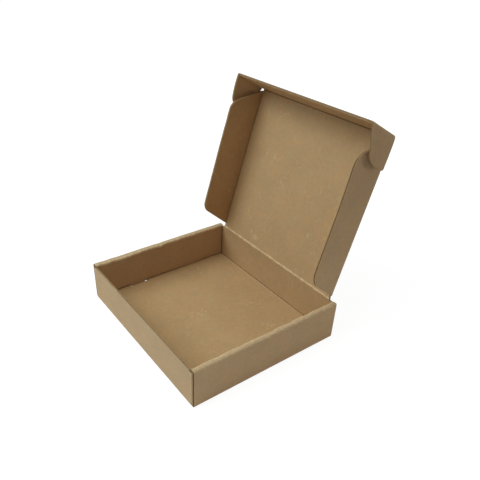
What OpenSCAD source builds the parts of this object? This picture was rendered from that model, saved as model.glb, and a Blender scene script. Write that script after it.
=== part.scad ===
// Corrugated mailer box, folded from one die-cut sheet.
// A shallow tray with rolled double side walls and a hinged lid with a front tuck flap.
// X runs from left to right, Y from front to back, Z up. The origin is the middle of
// the underside of the tray.

/* [Box] */
// Width over both rolled side walls
box_w = 160; // [120:1:220]
// Depth from the front wall's face to the back wall's face
box_d = 138; // [100:1:200]
// Height of the tray, with the closed lid flush
box_h = 35; // [28:0.5:60]

/* [Board] */
// Thickness of the corrugated board
board_t = 1.5; // [1:0.1:2]
// Outer radius of a fold, less than the board's thickness
fold_r = 1.2; // [0.6:0.1:1.4]
// Gap between two layers of board that lie together
layer_gap = 0.2; // [0.1:0.05:0.4]

/* [Rolled side walls] */
// Step from the front and back faces to the cut ends of the side walls
end_step = 0.8; // [0.4:0.1:2]
// Length of a corner flap inside the rolled wall
corner_flap_len = 42; // [20:1:48]
// Taper of a corner flap's two long edges, in degrees
corner_flap_taper = 5; // [0:0.5:8]
// Radius of a corner flap's free corners
corner_flap_r = 5; // [1:0.5:8]
// Length of a lock tab
tab_len = 14; // [8:1:20]
// Distance between the middles of the two lock tabs of a wall
tab_spacing = 58; // [40:1:70]
// Room between a lock tab and each end of its slot
tab_end_gap = 0.8; // [0.4:0.1:1.5]
// Radius of a lock tab's free corners
tab_r = 0.8; // [0.2:0.1:1.2]

/* [Lid] */
// Opening angle of the lid, where 0 is closed
lid_angle = 106.5; // [0:0.5:180]
// Length of the hinge crease
hinge_len = 144; // [100:1:145]
// Height of a side flap, measured from the lid's outer face
side_flap_h = 33; // [20:0.5:33]
// Distance from the hinge crease to the root of a side flap
side_flap_start = 3.7; // [2:0.1:10]
// Slope of a side flap's two ends, in degrees
side_flap_slope = 24.5; // [10:0.5:35]
// Radius of a side flap's free corners
side_flap_r = 10; // [3:0.5:14]

/* [Tuck flap] */
// Length of the tuck flap, measured from the lid's outer face
tuck_len = 32.8; // [22:0.1:33]
// Outward lean of the tuck flap away from square to the lid, in degrees
tuck_lean = 12.6; // [0:0.1:20]
// Gap between the closed tuck flap's root and the front wall
tuck_gap = 0.5; // [0.3:0.1:1.5]
// Radius of the tuck flap's free corners, seen from the front
tuck_r = 1.5; // [0.5:0.1:4]
// Length of an ear behind the tuck flap
ear_len = 25.5; // [15:0.5:40]
// Slope of an ear's upper edge, in degrees
ear_slope = 25; // [10:1:35]
// Slope of an ear's lower edge, in degrees
ear_taper = 3; // [0:0.5:10]
// Radius of an ear's upper corner
ear_r = 12; // [4:0.5:14]
// Radius of an ear's lower corner
ear_toe_r = 2; // [1:0.5:5]

/* [Running gaps] */
// Gap between the closed lid's ears and the side walls
ear_gap = 0.3; // [0.2:0.05:0.6]
// Gap across a crease, between the two pieces that it joins
crease_gap = 0.2; // [0.1:0.05:0.4]

/* [Hidden] */
$fn = 48;
overlap = 0.01;

kraft_outside = [0.62, 0.53, 0.40];
kraft_inside = [0.64, 0.53, 0.38];

// The rolled side wall holds three layers: outer panel, corner flap, inner panel.
half_w = box_w / 2;
half_d = box_d / 2;
outer_panel_in = half_w - board_t;
corner_flap_out = outer_panel_in - layer_gap;
corner_flap_in = corner_flap_out - board_t;
inner_panel_out = corner_flap_in - layer_gap;
inner_panel_in = inner_panel_out - board_t;
roll_under = box_h - board_t;
end_wall_top = roll_under - layer_gap;
side_wall_end = half_d - end_step;
inner_panel_end = half_d - board_t - layer_gap;
tab_foot = layer_gap;

// The hinge crease lies in the middle of the back wall's thickness.
hinge_y = half_d - board_t / 2;
hinge_z = box_h - board_t / 2;

// The lid's ears stand just inside the side walls, and the side flaps inside the ears.
ear_out = inner_panel_in - ear_gap;
ear_in = ear_out - board_t;
side_flap_out = ear_in - layer_gap;
side_flap_in = side_flap_out - board_t;
face_in = board_t / 2;
face_out = -board_t / 2;
lid_start = board_t / 2 + crease_gap;
tuck_root = hinge_y + half_d - board_t - tuck_gap - board_t;
side_flap_end = tuck_root - layer_gap - board_t;
tuck_tip = tuck_len - board_t;
lid_fold_sweep = 55;

// Outline with rounded corners: each point has its own radius, and 0 leaves it sharp.
function unit(v) = v / norm(v);
function turn_sign(a, b, c) =
    sign((b.x - a.x) * (c.y - b.y) - (b.y - a.y) * (c.x - b.x));
function corner_arc(a, b, c, r) =
    let (to_a = unit(a - b))
    let (to_c = unit(c - b))
    let (half = acos(to_a * to_c) / 2)
    let (centre = b + unit(to_a + to_c) * r / sin(half))
    let (first = b + to_a * r / tan(half) - centre)
    let (turn = turn_sign(a, b, c) * (180 - 2 * half))
    let (steps = max(3, ceil(abs(turn) / 9)))
    [for (i = [0 : steps])
        let (angle = turn * i / steps)
        centre + [first.x * cos(angle) - first.y * sin(angle),
                  first.x * sin(angle) + first.y * cos(angle)]];
function rounded_outline(points, radii) =
    let (n = len(points))
    [for (i = [0 : n - 1])
        for (p = radii[i] > 0
                ? corner_arc(points[(i + n - 1) % n], points[i], points[(i + 1) % n], radii[i])
                : [points[i]])
            p];

// Wedge of a disc in the plane, from start_angle to end_angle.
module sector(r, start_angle, end_angle) {
    reach = 2 * r;
    middle = (start_angle + end_angle) / 2;
    intersection() {
        circle(r);
        polygon([[0, 0],
                 reach * [cos(start_angle), sin(start_angle)],
                 reach * [cos(middle), sin(middle)],
                 reach * [cos(end_angle), sin(end_angle)]]);
    }
}

// Square from corner to corner, given by its low and high points.
module box2(low, high) {
    translate(low) square(high - low);
}

// What a fold of radius r takes off the square corner at [0, 0].
module fold_relief(r) {
    difference() {
        translate([-overlap, -overlap]) square(r + overlap);
        translate([r, r]) circle(r);
    }
}

// Stands a profile drawn in X and Z upright and runs it along Y.
module along_y(from_y, to_y) {
    translate([0, to_y, 0])
        rotate([90, 0, 0])
            linear_extrude(to_y - from_y) children();
}

// Stands a profile drawn in Y and Z upright and runs it along X.
module along_x(from_x, to_x) {
    translate([from_x, 0, 0])
        rotate([90, 0, 90])
            linear_extrude(to_x - from_x) children();
}

module both_sides() {
    children();
    mirror([1, 0, 0]) children();
}

module both_ends() {
    children();
    mirror([0, 1, 0]) children();
}

// Bottom, outer panel and roll-over strip of one half, as one bent strip of board.
module side_wall_profile() {
    difference() {
        union() {
            box2([-overlap, 0], [half_w, board_t]);
            box2([outer_panel_in, 0], [half_w, box_h]);
            box2([inner_panel_in, roll_under], [half_w, box_h]);
        }
        translate([half_w, 0]) mirror([1, 0]) fold_relief(fold_r);
        translate([half_w, box_h]) mirror([1, 0]) mirror([0, 1]) fold_relief(fold_r);
        translate([inner_panel_in, box_h]) mirror([0, 1]) fold_relief(fold_r);
    }
}

// Inner panel that comes down from the roll-over strip, with its two lock tabs.
module inner_panel() {
    along_y(-inner_panel_end, inner_panel_end)
        box2([inner_panel_in, board_t + layer_gap], [inner_panel_out, roll_under + overlap]);
    for (side = [-1, 1])
        translate([0, side * tab_spacing / 2, 0]) lock_tab();
}

module lock_tab() {
    top = board_t + layer_gap + overlap;
    along_x(inner_panel_in, inner_panel_out)
        polygon(rounded_outline(
            [[-tab_len / 2, tab_foot], [tab_len / 2, tab_foot],
             [tab_len / 2, top], [-tab_len / 2, top]],
            [tab_r, tab_r, 0, 0]));
}

module tab_slots() {
    for (side = [-1, 1])
        translate([inner_panel_in - layer_gap,
                   side * tab_spacing / 2 - tab_len / 2 - tab_end_gap,
                   -overlap])
            cube([board_t + 2 * layer_gap, tab_len + 2 * tab_end_gap, board_t + 2 * overlap]);
}

// Front or back wall up to the roll-over strips, with its fold to the bottom.
module end_wall() {
    along_x(-corner_flap_out, corner_flap_out)
        difference() {
            union() {
                box2([-half_d, 0], [-half_d + board_t, end_wall_top]);
                box2([-half_d, 0], [-side_wall_end + overlap, board_t]);
            }
            translate([-half_d, 0]) fold_relief(fold_r);
        }
}

// The end wall's vertical fold at a corner of the tray.
module corner_fold_relief() {
    translate([corner_flap_out, -half_d, -overlap])
        linear_extrude(box_h + board_t) mirror([1, 0]) fold_relief(fold_r);
}

// Flap that is folded in from an end wall and caught inside the rolled side wall.
module corner_flap() {
    low = board_t + layer_gap;
    high = end_wall_top;
    drop = (corner_flap_len - board_t) * tan(corner_flap_taper);
    along_x(corner_flap_in, corner_flap_out)
        polygon(rounded_outline(
            [[-half_d + overlap, low],
             [-half_d + board_t, low],
             [-half_d + corner_flap_len, low + drop],
             [-half_d + corner_flap_len, high - drop],
             [-half_d + board_t, high],
             [-half_d + overlap, high]],
            [0, 0, corner_flap_r, corner_flap_r, 0, 0]));
}

// Middle of the back wall, carried up to the hinge crease and rounded over it.
module hinge_ridge() {
    along_x(-hinge_len / 2, hinge_len / 2) {
        box2([half_d - board_t, end_wall_top - overlap], [half_d, hinge_z]);
        translate([hinge_y, hinge_z]) circle(board_t / 2);
    }
}

module tray() {
    color(kraft_outside)
        difference() {
            union() {
                both_sides() {
                    along_y(-side_wall_end, side_wall_end) side_wall_profile();
                    inner_panel();
                    both_ends() corner_flap();
                }
                both_ends() end_wall();
                hinge_ridge();
            }
            both_sides() {
                tab_cuts();
                both_ends() corner_fold_relief();
            }
        }
}

// The slots, cut only where no lock tab stands.
module tab_cuts() {
    difference() {
        tab_slots();
        for (side = [-1, 1])
            translate([0, side * tab_spacing / 2, 0]) lock_tab();
    }
}

// Places what is drawn with the lid's own axes: Y out from the hinge, Z into the box.
module on_lid() {
    translate([0, hinge_y, hinge_z]) rotate([180 - lid_angle, 0, 0]) children();
}

// Places what is drawn with the tuck flap's own axes: Z along the flap, Y outwards.
module on_tuck() {
    on_lid() translate([0, tuck_root, face_in]) rotate([-tuck_lean, 0, 0]) children();
}

module lid_panel() {
    color(kraft_inside)
        on_lid() {
            translate([-side_flap_in, lid_start, face_out])
                cube([2 * side_flap_in, tuck_root - lid_start, board_t]);
            both_sides()
                along_y(side_flap_start, side_flap_end)
                    translate([side_flap_in, face_in]) sector(board_t, -90, 0);
            along_x(-side_flap_in, side_flap_in)
                translate([tuck_root, face_in]) sector(board_t, -90, -90 + lid_fold_sweep);
        }
}

// The right side flap, square to the lid, with sloped ends and round free corners.
module side_flap() {
    low = face_in + crease_gap;
    high = side_flap_h - board_t / 2;
    slope = (high - low) * tan(side_flap_slope);
    on_lid()
        along_x(side_flap_in, side_flap_out)
            polygon(rounded_outline(
                [[side_flap_start, low],
                 [side_flap_end, low],
                 [side_flap_end - slope, high],
                 [side_flap_start + slope, high]],
                [0, 0, side_flap_r, side_flap_r]));
}

module lid_right_flap() {
    color(kraft_outside) side_flap();
}

module lid_left_flap() {
    color(kraft_inside) mirror([1, 0, 0]) side_flap();
}

// Ear folded back from the end of the tuck flap, outside the side flap.
module ear() {
    foot = crease_gap;
    toe = foot + ear_len * tan(ear_taper);
    shoulder = tuck_tip - ear_len * tan(ear_slope);
    along_x(ear_in, ear_out)
        polygon(rounded_outline(
            [[overlap, foot],
             [overlap, tuck_tip],
             [-ear_len, shoulder],
             [-ear_len, toe]],
            [0, 0, ear_r, ear_toe_r]));
}

module tuck_flap() {
    color(kraft_inside)
        on_tuck()
            difference() {
                union() {
                    translate([0, board_t, 0])
                        rotate([90, 0, 0])
                            linear_extrude(board_t)
                                polygon(rounded_outline(
                                    [[-ear_out, crease_gap], [ear_out, crease_gap],
                                     [ear_out, tuck_tip], [-ear_out, tuck_tip]],
                                    [0, 0, tuck_r, tuck_r]));
                    both_sides() ear();
                }
                both_sides()
                    translate([ear_out, board_t, -board_t])
                        linear_extrude(tuck_len + 2 * board_t)
                            mirror([1, 0]) mirror([0, 1]) fold_relief(fold_r);
            }
}

tray();
lid_panel();
lid_left_flap();
lid_right_flap();
tuck_flap();
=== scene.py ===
import logging
import math
from dataclasses import dataclass
from enum import Enum
from typing import Callable, Iterable, Optional, Union

import bmesh
import bpy
from mathutils import Matrix, Vector, noise


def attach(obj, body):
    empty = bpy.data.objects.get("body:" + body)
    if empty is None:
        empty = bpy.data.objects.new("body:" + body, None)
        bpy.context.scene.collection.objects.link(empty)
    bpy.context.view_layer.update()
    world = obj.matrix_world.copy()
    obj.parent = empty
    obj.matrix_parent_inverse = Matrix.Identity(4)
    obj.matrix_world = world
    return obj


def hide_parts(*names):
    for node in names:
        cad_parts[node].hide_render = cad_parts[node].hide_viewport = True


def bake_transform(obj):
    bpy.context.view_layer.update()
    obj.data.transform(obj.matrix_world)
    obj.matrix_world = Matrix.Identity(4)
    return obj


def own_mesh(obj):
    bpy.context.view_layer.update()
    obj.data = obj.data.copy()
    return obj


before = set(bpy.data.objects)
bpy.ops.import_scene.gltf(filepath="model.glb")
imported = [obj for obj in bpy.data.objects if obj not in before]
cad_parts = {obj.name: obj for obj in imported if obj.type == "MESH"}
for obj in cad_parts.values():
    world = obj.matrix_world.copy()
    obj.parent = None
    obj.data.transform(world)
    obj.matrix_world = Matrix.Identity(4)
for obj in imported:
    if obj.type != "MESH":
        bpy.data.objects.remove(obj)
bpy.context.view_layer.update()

log = logging.getLogger("mailer_box")

Value = Union["Flow", float]
Triple = tuple[float, float, float]
Colour = tuple[float, float, float, float]
Owner = Union[bpy.types.Material, bpy.types.World]
Finishes = list[bpy.types.Material]
Press = Callable[[Vector, Vector], Vector]

MM = 0.001
SQUARE = 90.0
FAR = 400.0
HAIR = 0.01
FLUTE = 3.2
WHITE: Colour = (1.0, 1.0, 1.0, 1.0)


# Sizes, in millimetres


@dataclass(frozen=True)
class BoxSizes:
    """Sizes of the folded box in millimetres, the same as in the part's source."""

    box_w: float = 160.0
    box_d: float = 138.0
    box_h: float = 35.0
    board_t: float = 1.5
    layer_gap: float = 0.2
    end_step: float = 0.8
    corner_flap_len: float = 42.0
    corner_flap_taper: float = 5.0
    corner_flap_r: float = 5.0
    tab_len: float = 14.0
    tab_spacing: float = 58.0
    tab_end_gap: float = 0.8
    tab_r: float = 0.8
    lid_angle: float = 106.5
    hinge_len: float = 144.0
    side_flap_h: float = 33.0
    side_flap_start: float = 3.7
    side_flap_slope: float = 24.5
    side_flap_r: float = 10.0
    tuck_len: float = 32.8
    tuck_lean: float = 12.6
    tuck_gap: float = 0.5
    ear_len: float = 25.5
    ear_slope: float = 25.0
    ear_taper: float = 3.0
    ear_r: float = 12.0
    ear_toe_r: float = 2.0
    ear_gap: float = 0.3
    crease_gap: float = 0.2

    @property
    def inner_panel_out(self) -> float:
        """Hidden face of a side wall's inner panel, behind the outer panel and a corner flap."""
        return self.box_w / 2 - 2 * (self.board_t + self.layer_gap)

    @property
    def inner_panel_in(self) -> float:
        """Face of a side wall's inner panel that looks into the tray."""
        return self.inner_panel_out - self.board_t

    @property
    def side_wall_end(self) -> float:
        """Cut end of a side wall's outer panel and strip."""
        return self.box_d / 2 - self.end_step

    @property
    def end_wall_in(self) -> float:
        """Inner face of the front and back walls."""
        return self.box_d / 2 - self.board_t

    @property
    def inner_panel_end(self) -> float:
        """Cut end of a side wall's inner panel."""
        return self.end_wall_in - self.layer_gap

    @property
    def hinge_y(self) -> float:
        """Hinge axis, from the middle of the tray to the back."""
        return self.box_d / 2 - self.board_t / 2

    @property
    def hinge_z(self) -> float:
        """Hinge axis above the table."""
        return self.box_h - self.board_t / 2

    @property
    def ear_in(self) -> float:
        """Inner face of an ear."""
        return self.inner_panel_in - self.ear_gap - self.board_t

    @property
    def side_flap_in(self) -> float:
        """Inner face of a side flap."""
        return self.ear_in - self.layer_gap - self.board_t

    @property
    def tuck_root(self) -> float:
        """Inner corner between lid and tuck flap, out from the hinge."""
        return self.hinge_y + self.end_wall_in - self.tuck_gap - self.board_t


def share_of(value: float, low: float, high: float) -> float:
    """How far a value has come from low to high, from 0 to 1."""
    return min(1.0, max(0.0, (value - low) / (high - low)))


def wander(x: float, y: float, seed: float) -> float:
    """Smooth noise around 0."""
    return noise.noise(Vector((x, y, seed)))


def slope_of(degrees: float) -> float:
    """Rise per run of a slope."""
    return math.tan(math.radians(degrees))


class Way(Enum):
    """Directions on the flat blank, away from the middle of the bottom panel."""

    RIGHT = (1.0, 0.0)
    LEFT = (-1.0, 0.0)
    BACK = (0.0, 1.0)
    FRONT = (0.0, -1.0)

    @property
    def vector(self) -> Vector:
        """The direction as a vector in the blank's plane."""
        return Vector((self.value[0], self.value[1], 0.0))

    def run(self, point: Vector) -> float:
        """How far a point of the blank lies in this direction."""
        return point.x * self.value[0] + point.y * self.value[1]


@dataclass(frozen=True)
class Region:
    """Rectangle of the flat blank, in millimetres."""

    low_x: float
    low_y: float
    high_x: float
    high_y: float

    def holds(self, point: Vector) -> bool:
        """Whether a point of the blank lies in it."""
        return self.low_x <= point.x <= self.high_x and self.low_y <= point.y <= self.high_y


EVERYWHERE = Region(-FAR, -FAR, FAR, FAR)


def line_at_x(x: float, low: float = -FAR, high: float = FAR, reach: float = HAIR) -> Region:
    """Narrow region along a line that runs to the back."""
    return Region(x - reach, low, x + reach, high)


def line_at_y(y: float, low: float = -FAR, high: float = FAR, reach: float = HAIR) -> Region:
    """Narrow region along a line that runs to the right."""
    return Region(low, y - reach, high, y + reach)


@dataclass(frozen=True)
class Crease:
    """One crease of the blank.

    Attributes:
        way: direction in which the folded part lies.
        start: run at which the board begins to bend.
        length: length of the bent board, along its middle.
        angle: fold in degrees, positive towards the inner liner.
        carries: regions of the blank that the crease bends and turns.
        outer_wear: how light the outer liner is rubbed along the fold.
        inner_painted_light: painted highlight on the inner liner in the crease, or with a minus
            painted shade there.
        bead: height of the ridge that the creasing rule leaves on the inner liner.
        shoulder_highlight: painted highlight on the inner liner beside a dark crease.
    """

    way: Way
    start: float
    length: float
    angle: float
    carries: tuple[Region, ...] = (EVERYWHERE,)
    outer_wear: float = 0.3
    inner_painted_light: float = 0.0
    bead: float = 0.0
    shoulder_highlight: float = 0.0

    @property
    def end(self) -> float:
        """Run at which the board is flat again."""
        return self.start + self.length

    @property
    def radius(self) -> float:
        """Radius of the bend, along the middle of the board."""
        return self.length / abs(math.radians(self.angle))

    def covers(self, point: Vector) -> bool:
        """Whether a point of the blank lies in what the crease carries."""
        return any(region.holds(point) for region in self.carries)

    def moves(self, point: Vector) -> bool:
        """Whether the crease bends or turns a point of the blank."""
        return self.way.run(point) > self.start + 1e-6 and self.covers(point)

    def nearness(self, point: Vector, reach: float) -> float:
        """How close a point of the blank is to the crease.

        Args:
            point: point of the blank.
            reach: distance from the bend at which the answer falls to 0.

        Returns:
            1 in the bend, falling to 0 at reach.
        """
        if not self.covers(point):
            return 0.0
        run = self.way.run(point)
        away = max(self.start - run, run - self.end, 0.0)
        return max(0.0, 1.0 - away / reach)


# The flat blank


class Blank:
    """The die-cut sheet: where each crease and edge lies, measured on the flat board.

    The middle of the bottom panel is the blank's origin. X runs to the right and Y to the back.

    Attributes:
        inner_radius: radius inside a square fold.
        hinge_bend: length of the board that bends at the hinge.
    """

    inner_radius = 0.15
    hinge_bend = 1.9

    def __init__(self, sizes: BoxSizes) -> None:
        """Walks outward from the bottom panel and notes each crease and edge.

        Args:
            sizes: sizes of the folded box.
        """
        self.sizes = s = sizes
        self.neutral = self.inner_radius + s.board_t / 2
        self.bend = bend = self.neutral * math.pi / 2
        low = s.board_t + self.inner_radius
        outer_panel_in = s.box_w / 2 - s.board_t
        roll_under = s.box_h - s.board_t

        self.side_x = outer_panel_in - self.inner_radius
        self.roll_x = self.side_x + bend + roll_under - self.inner_radius - low
        strip = outer_panel_in - s.inner_panel_out - 2 * self.inner_radius
        self.inner_x = self.roll_x + bend + strip
        self.inner_start_x = self.inner_x + bend
        drop = roll_under - s.board_t - s.layer_gap
        self.inner_edge_x = self.inner_start_x + drop - self.inner_radius
        self.tab_edge_x = self.inner_edge_x + s.board_t

        self.wall_y = s.end_wall_in - self.inner_radius
        self.corner_low_y = self.wall_y + bend
        wall_zero = self.corner_low_y - low
        self.wall_edge_y = wall_zero + roll_under - s.layer_gap
        self.corner_x = s.inner_panel_out + s.layer_gap - self.inner_radius
        self.corner_root_x = self.corner_x + bend - self.inner_radius
        self.corner_edge_x = self.corner_root_x + s.corner_flap_len - s.board_t

        self.lid_lean = s.lid_angle - SQUARE
        hinge_radius = self.hinge_bend / math.radians(self.lid_lean)
        self.hinge_reach = hinge_radius * slope_of(self.lid_lean / 2)
        self.hinge_y = wall_zero + s.hinge_z - self.hinge_reach
        self.lid_zero = self.hinge_y + self.hinge_bend - self.hinge_reach

        self.flap_x = s.side_flap_in - self.inner_radius
        self.flap_start_x = self.flap_x + bend
        self.flap_edge_x = self.flap_start_x + s.side_flap_h - s.board_t - self.inner_radius
        self.flap_low_y = self.lid_zero + s.side_flap_start
        self.flap_high_y = self.lid_zero + s.tuck_root - s.layer_gap - s.board_t

        self.tuck_fold = SQUARE - s.tuck_lean
        reach = self.inner_radius * slope_of(self.tuck_fold / 2)
        self.tuck_y = self.lid_zero + s.tuck_root - reach
        self.tuck_bend = self.neutral * math.radians(self.tuck_fold)
        self.tuck_zero = self.tuck_y + self.tuck_bend - reach
        self.tuck_edge_y = self.tuck_zero + s.tuck_len - s.board_t
        self.ear_x = s.ear_in - self.inner_radius
        self.ear_root_x = self.ear_x + bend - self.inner_radius
        self.ear_edge_x = self.ear_root_x + s.ear_len

    def creases(self) -> list[Crease]:
        """All creases, in the order in which they are folded, from the free edges inward."""
        sides = (Way.RIGHT, Way.LEFT)
        slit = self.sizes.side_wall_end + 0.05
        middle = self.corner_x + 0.05
        tuck_area = (Region(-FAR, self.tuck_zero + 0.1, FAR, FAR),)
        flap_area = (Region(-FAR, self.lid_zero + 2.0, FAR, self.tuck_y - 1.0),)
        side_area = (Region(-FAR, -slit, FAR, slit),)
        back_area = Region(-FAR, self.corner_low_y - 0.1, FAR, self.wall_edge_y + 0.1)
        front_area = Region(-FAR, -back_area.high_y, FAR, -back_area.low_y)

        def square(ways: Iterable[Way], start: float, carries: tuple[Region, ...],
                   outer_wear: float = 0.3, inner_painted_light: float = 0.0,
                   shoulder_highlight: float = 0.0) -> list[Crease]:
            """The same square fold in each of the ways."""
            return [Crease(way, start, self.bend, SQUARE, carries, outer_wear, inner_painted_light,
                           shoulder_highlight=shoulder_highlight) for way in ways]

        # Negative inner_painted_light values paint shade into the creases. The hinge's positive
        # value paints a highlight along its bead, and shoulder_highlight paints a highlight beside
        # the end walls' creases.
        return [
            *square(sides, self.ear_x, tuck_area, inner_painted_light=-0.25),
            Crease(Way.BACK, self.tuck_y, self.tuck_bend, self.tuck_fold, inner_painted_light=-0.9),
            *square(sides, self.flap_x, flap_area, inner_painted_light=-0.5),
            Crease(Way.BACK, self.hinge_y, self.hinge_bend, -self.lid_lean, inner_painted_light=0.9,
                   bead=0.5),
            *square(sides, self.corner_x, (back_area, front_area), inner_painted_light=-0.8),
            *square((Way.FRONT,), self.wall_y,
                    (Region(-middle, -FAR, middle, 0.0), Region(-FAR, -FAR, FAR, -slit)),
                    inner_painted_light=-0.95, shoulder_highlight=1.0),
            *square((Way.BACK,), self.wall_y,
                    (Region(-middle, 0.0, middle, FAR), Region(-FAR, slit, FAR, FAR)),
                    inner_painted_light=-0.95, shoulder_highlight=1.0),
            *square(sides, self.inner_x, side_area, outer_wear=0.9),
            *square(sides, self.roll_x, side_area, outer_wear=0.35),
            *square(sides, self.side_x, side_area),
        ]


@dataclass(frozen=True)
class Corner:
    """A corner of an outline on the blank, with the radius that rounds it."""

    x: float
    y: float
    radius: float = 0.0


class Liner(Enum):
    """Sides of the board, as indices of a piece's materials."""

    OUTER = 0
    INNER = 1
    EDGE = 2


class BoardPart:
    """A part of the blank: cut out, ruled with a grid, thickened, creased, folded and finished.

    Attributes:
        bend_rows: rows of faces in each bend.
        round_rows: segments of a rounded corner.
        lip: width of a liner in a cut edge.
        groove: depth of the groove between the two liners.
        fade: how far from a bend its rubbed paleness and painted light and shade reach.
        sharp: angle in degrees from which an edge stays sharp.
    """

    bend_rows = 8
    round_rows = 8
    lip = 0.2
    groove = 0.2
    fade = 0.8
    sharp = 38.0

    def __init__(self, blank: Blank, name: str, corners: list[Corner]) -> None:
        """Cuts an outline from the sheet and rounds its corners.

        Args:
            blank: the sheet that the part belongs to.
            name: the name of the finished piece.
            corners: the outline's corners in order.
        """
        self.blank = blank
        self.name = name
        self.bm = bmesh.new()
        verts = [self.bm.verts.new((c.x, c.y, 0.0)) for c in corners]
        self.bm.faces.new(verts)
        points = [Vector((c.x, c.y)) for c in corners]
        for before, here, after, vert, corner in zip(
                points[-1:] + points, points, points[1:] + points[:1], verts, corners):
            if corner.radius > 0.0:
                half = (before - here).angle(after - here) / 2
                bmesh.ops.bevel(self.bm, geom=[vert], offset=corner.radius / math.tan(half),
                                offset_type="ABSOLUTE", segments=self.round_rows, profile=0.5,
                                affect="VERTICES", material=-1)

    def both_sides(self) -> None:
        """Mirrors the half that is cut out to the other side of the blank's middle line."""
        geom = [*self.bm.verts, *self.bm.edges, *self.bm.faces]
        bmesh.ops.mirror(self.bm, geom=geom, matrix=Matrix.Identity(4), merge_dist=1e-4, axis="X")
        bmesh.ops.remove_doubles(self.bm, verts=self.bm.verts, dist=1e-4)

    def rule(self, way: Way, runs: Iterable[float], within: Region = EVERYWHERE) -> None:
        """Rules lines across the flat part, so that it can bend there.

        Args:
            way: direction along which the runs are measured.
            runs: where the lines lie.
            within: limits the lines to the faces whose middles lie in this region.
        """
        for run in runs:
            faces = [f for f in self.bm.faces if within.holds(f.calc_center_median())]
            bounds = [part for face in faces for part in (*face.edges, *face.verts)]
            bmesh.ops.bisect_plane(self.bm, geom=list(dict.fromkeys(faces + bounds)), dist=1e-4,
                                   plane_co=way.vector * run, plane_no=way.vector)

    def rule_grid(self, step: float) -> None:
        """Rules an even grid over the whole part.

        Args:
            step: distance between the lines.
        """
        xs = [v.co.x for v in self.bm.verts]
        ys = [v.co.y for v in self.bm.verts]
        for way, low, high in ((Way.RIGHT, min(xs), max(xs)), (Way.BACK, min(ys), max(ys))):
            count = max(1, round((high - low) / step))
            gap = (high - low) / count
            self.rule(way, [low + gap * i for i in range(1, count)])

    def rule_creases(self) -> None:
        """Rules the rows of each crease's bend and of its rubbing and painted light, further out
        where it has a painted highlight beside it.
        """
        for crease in self.blank.creases():
            row = crease.length / self.bend_rows
            runs = [crease.start + row * i for i in range(self.bend_rows + 1)]
            for share in (0.5, 1.0, 1.5) if crease.shoulder_highlight > 0.0 else (0.5, 1.0):
                runs += [crease.start - self.fade * share, crease.end + self.fade * share]
            for area in crease.carries:
                self.rule(crease.way, runs, area)

    def punch(self, hole: Region) -> None:
        """Punches a rectangular hole through the flat part.

        Args:
            hole: the hole's edges.
        """
        near = Region(hole.low_x - 8, hole.low_y - 8, hole.high_x + 8, hole.high_y + 8)
        self.rule(Way.RIGHT, (hole.low_x, hole.high_x), near)
        self.rule(Way.BACK, (hole.low_y, hole.high_y), near)
        inside = [f for f in self.bm.faces if hole.holds(f.calc_center_median())]
        bmesh.ops.delete(self.bm, geom=inside, context="FACES")

    def thicken(self, seams: Iterable[Region] = ()) -> None:
        """Gives the sheet its thickness and its cut edges their groove between the two liners.

        Args:
            seams: regions whose edges join another part of the sheet and stay plain.
        """
        bm = self.bm
        lifted = bmesh.ops.extrude_face_region(bm, geom=list(bm.faces), use_keep_orig=True)["geom"]
        top = [g for g in lifted if isinstance(g, bmesh.types.BMVert)]
        bmesh.ops.translate(bm, verts=top, vec=(0.0, 0.0, self.blank.sizes.board_t))
        bmesh.ops.recalc_face_normals(bm, faces=bm.faces)
        for face in bm.faces:
            face.normal_update()
            face.material_index = self._side(face.normal).value
        cut = [f for f in bm.faces if f.material_index == Liner.EDGE.value
               and not any(r.holds(f.calc_center_median()) for r in seams)]
        for width, depth in ((self.lip, 0.0), (0.02, -self.groove)):
            bmesh.ops.inset_region(bm, faces=cut, thickness=width, depth=depth,
                                   use_boundary=True, use_even_offset=True)

    @staticmethod
    def _side(normal: Vector) -> Liner:
        """Side of the flat board that a face belongs to, from its normal."""
        if normal.z < -0.5:
            return Liner.OUTER
        return Liner.INNER if normal.z > 0.5 else Liner.EDGE

    def note_sheet(self, shaded_ends: Iterable[tuple[Region, float]] = ()) -> None:
        """Writes each point's place on the flat board, and the rubbing and painted light and shade
        of the creases and cut edges, into the mesh.

        Args:
            shaded_ends: regions whose cut edges show open flutes with painted shade, each with how
                dark it is painted.
        """
        place = self.bm.verts.layers.float_vector.new("sheet")
        wear_and_painted_light = self.bm.verts.layers.float.new("wear_and_painted_light")
        creases = self.blank.creases()
        thickness = self.blank.sizes.board_t
        for vert in self.bm.verts:
            vert[place] = vert.co
            inner = vert.co.z > thickness / 2
            amount = max((self._wear_and_painted_light_of(crease, vert.co, inner) for crease in creases), key=abs)
            if 0.1 < vert.co.z < thickness - 0.1:
                for region, dark in shaded_ends:
                    if region.holds(vert.co):
                        amount = -dark
            vert[wear_and_painted_light] = amount

    def _wear_and_painted_light_of(self, crease: Crease, point: Vector, inner: bool) -> float:
        """Rubbed paleness, painted highlight and painted shade that one crease leaves at a point
        of the flat board.

        Args:
            crease: the crease.
            point: the point.
            inner: whether the point lies nearer to the inner liner.

        Returns:
            How light the liner is rubbed or painted with a highlight, or with a minus how dark it
            is painted with shade.
        """
        strength = crease.inner_painted_light if inner else crease.outer_wear
        if inner and crease.shoulder_highlight > 0.0:
            share = crease.nearness(point, 1.5 * self.fade)
            flat = crease.way.run(point) < crease.start
            if flat and 0.2 < share < 0.5:
                return crease.shoulder_highlight
            return strength if share > (0.6 if flat else 0.9) else 0.0
        found = strength * crease.nearness(point, self.fade)
        return max(strength, 2.0 * found) if found < -0.1 else found

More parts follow.
